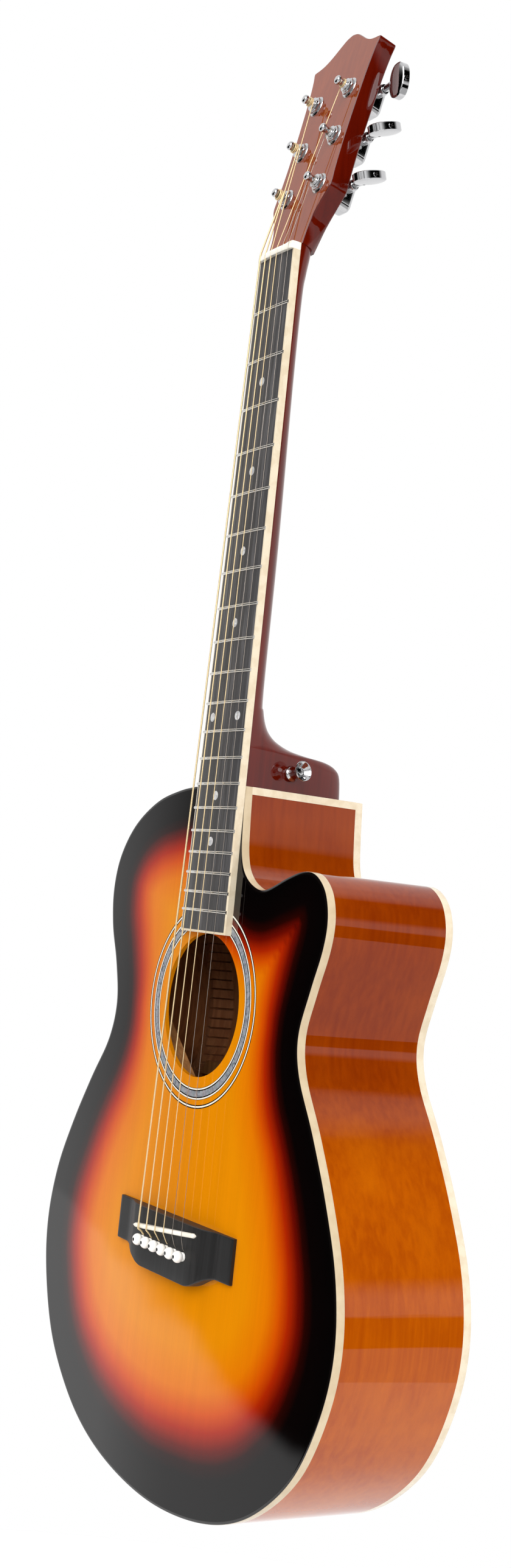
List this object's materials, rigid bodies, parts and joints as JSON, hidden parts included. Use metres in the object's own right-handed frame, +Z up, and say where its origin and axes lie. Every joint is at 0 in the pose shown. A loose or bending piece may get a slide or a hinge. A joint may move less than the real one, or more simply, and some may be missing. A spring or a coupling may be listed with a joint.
{
  "type": "acoustic guitar",
  "caption": "Steel-string acoustic guitar with a cutaway body, sunburst top, geared tuners on both sides of the headstock and a strap button on the heel.",
  "frame": {"origin": "on the centre line and in the plane of the soundboard's face, at the height where the arms of a wall hanger carry the headstock, 20 mm above the nut", "axes": "+Z up along the neck to the headstock, -Y out of the soundboard towards the player's audience, +X across the strings to the treble side"},
  "size_m": [0.377, 0.1172, 1.0008],
  "materials": {
    "sunburst_top": "gloss sunburst lacquer, amber to black",
    "back_wood": "gloss lacquer",
    "side_wood": "gloss orange-brown lacquer",
    "cream_binding": "gloss cream",
    "inner_wood": "bare wood",
    "pearl_rosette": "grey pearl between black and white lines",
    "bridge_wood": "satin black",
    "bone": "polished off-white",
    "white_pins": "gloss white with black dots",
    "neck_wood": "gloss red-brown lacquer",
    "rod_steel": "plain",
    "brass_nut": "plain",
    "fingerboard_wood": "oiled black, fine grain",
    "fret_nickel": "polished nickel",
    "pearl_dots": "pearl",
    "chrome": "mirror chrome",
    "gear_brass": "plain",
    "bronze_string": "wound bronze",
    "plain_string": "plain steel"
  },
  "bodies": {
    "root": {"soundboard": "sunburst_top", "back_plate": "back_wood", "side_bass": "side_wood", "side_treble": "side_wood", "binding_front": "cream_binding", "binding_back": "cream_binding", "binding_corner": "cream_binding", "fingerboard_binding": "cream_binding", "linings": "inner_wood", "neck_block": "inner_wood", "tail_block": "inner_wood", "top_braces": "inner_wood", "back_braces": "inner_wood", "bridge_plate": "inner_wood", "rosette": "pearl_rosette", "bridge": "bridge_wood", "saddle": "bone", "nut": "bone", "bridge_pins": "white_pins", "neck": "neck_wood", "truss_rod": "rod_steel", "fingerboard": "fingerboard_wood", "frets": "fret_nickel", "fret_markers": "pearl_dots", "tuner_housings": "chrome", "tuner_bushings": "chrome", "tuner_washers": "chrome", "tuner_screws": "chrome", "strap_button": "chrome", "string_1": "bronze_string", "string_2": "bronze_string", "string_3": "bronze_string", "string_4": "bronze_string", "string_5": "plain_string", "string_6": "plain_string"},
    "post_1": {"tuner_post_1": "chrome", "tuner_gear_1": "gear_brass"},
    "knob_1": {"tuner_worm_1": "chrome", "tuner_button_1": "chrome"},
    "post_2": {"tuner_post_2": "chrome", "tuner_gear_2": "gear_brass"},
    "knob_2": {"tuner_worm_2": "chrome", "tuner_button_2": "chrome"},
    "post_3": {"tuner_post_3": "chrome", "tuner_gear_3": "gear_brass"},
    "knob_3": {"tuner_worm_3": "chrome", "tuner_button_3": "chrome"},
    "post_4": {"tuner_post_4": "chrome", "tuner_gear_4": "gear_brass"},
    "knob_4": {"tuner_worm_4": "chrome", "tuner_button_4": "chrome"},
    "post_5": {"tuner_post_5": "chrome", "tuner_gear_5": "gear_brass"},
    "knob_5": {"tuner_worm_5": "chrome", "tuner_button_5": "chrome"},
    "post_6": {"tuner_post_6": "chrome", "tuner_gear_6": "gear_brass"},
    "knob_6": {"tuner_worm_6": "chrome", "tuner_button_6": "chrome"},
    "rod_nut": {"truss_rod_nut": "brass_nut"}
  },
  "joints": [
    {"name": "knob_turn_1", "type": "hinge", "parent": "root", "child": "knob_1", "pos_m": [0.049, 0.03184, 0.03068], "axis": [1, 0, 0], "continuous": true},
    {"name": "post_turn_1", "type": "hinge", "parent": "root", "child": "post_1", "pos_m": [0.02, 0.01152, 0.0292], "axis": [0, -0.9757, 0.219], "continuous": true},
    {"name": "knob_turn_2", "type": "hinge", "parent": "root", "child": "knob_2", "pos_m": [0.049, 0.03988, 0.06649], "axis": [1, 0, 0], "continuous": true},
    {"name": "post_turn_2", "type": "hinge", "parent": "root", "child": "post_2", "pos_m": [0.02, 0.01956, 0.06501], "axis": [0, -0.9757, 0.219], "continuous": true},
    {"name": "knob_turn_3", "type": "hinge", "parent": "root", "child": "knob_3", "pos_m": [0.049, 0.04791, 0.1023], "axis": [1, 0, 0], "continuous": true},
    {"name": "post_turn_3", "type": "hinge", "parent": "root", "child": "post_3", "pos_m": [0.02, 0.02759, 0.10082], "axis": [0, -0.9757, 0.219], "continuous": true},
    {"name": "knob_turn_4", "type": "hinge", "parent": "root", "child": "knob_4", "pos_m": [-0.049, 0.03184, 0.03068], "axis": [-1, 0, 0], "continuous": true},
    {"name": "post_turn_4", "type": "hinge", "parent": "root", "child": "post_4", "pos_m": [-0.02, 0.01152, 0.0292], "axis": [0, -0.9757, 0.219], "continuous": true},
    {"name": "knob_turn_5", "type": "hinge", "parent": "root", "child": "knob_5", "pos_m": [-0.049, 0.03988, 0.06649], "axis": [-1, 0, 0], "continuous": true},
    {"name": "post_turn_5", "type": "hinge", "parent": "root", "child": "post_5", "pos_m": [-0.02, 0.01956, 0.06501], "axis": [0, -0.9757, 0.219], "continuous": true},
    {"name": "knob_turn_6", "type": "hinge", "parent": "root", "child": "knob_6", "pos_m": [-0.049, 0.04791, 0.1023], "axis": [-1, 0, 0], "continuous": true},
    {"name": "post_turn_6", "type": "hinge", "parent": "root", "child": "post_6", "pos_m": [-0.02, 0.02759, 0.10082], "axis": [0, -0.9757, 0.219], "continuous": true},
    {"name": "rod_nut_turn", "type": "hinge", "parent": "root", "child": "rod_nut", "pos_m": [0, 0.007, -0.438], "axis": [0, 0, 1], "range_deg": [-180, 180]}
  ],
  "couplings": [
    {"joint": "post_turn_1", "follows": "knob_turn_1", "ratio": 0.066667},
    {"joint": "post_turn_2", "follows": "knob_turn_2", "ratio": 0.066667},
    {"joint": "post_turn_3", "follows": "knob_turn_3", "ratio": 0.066667},
    {"joint": "post_turn_4", "follows": "knob_turn_4", "ratio": 0.066667},
    {"joint": "post_turn_5", "follows": "knob_turn_5", "ratio": 0.066667},
    {"joint": "post_turn_6", "follows": "knob_turn_6", "ratio": 0.066667}
  ]
}
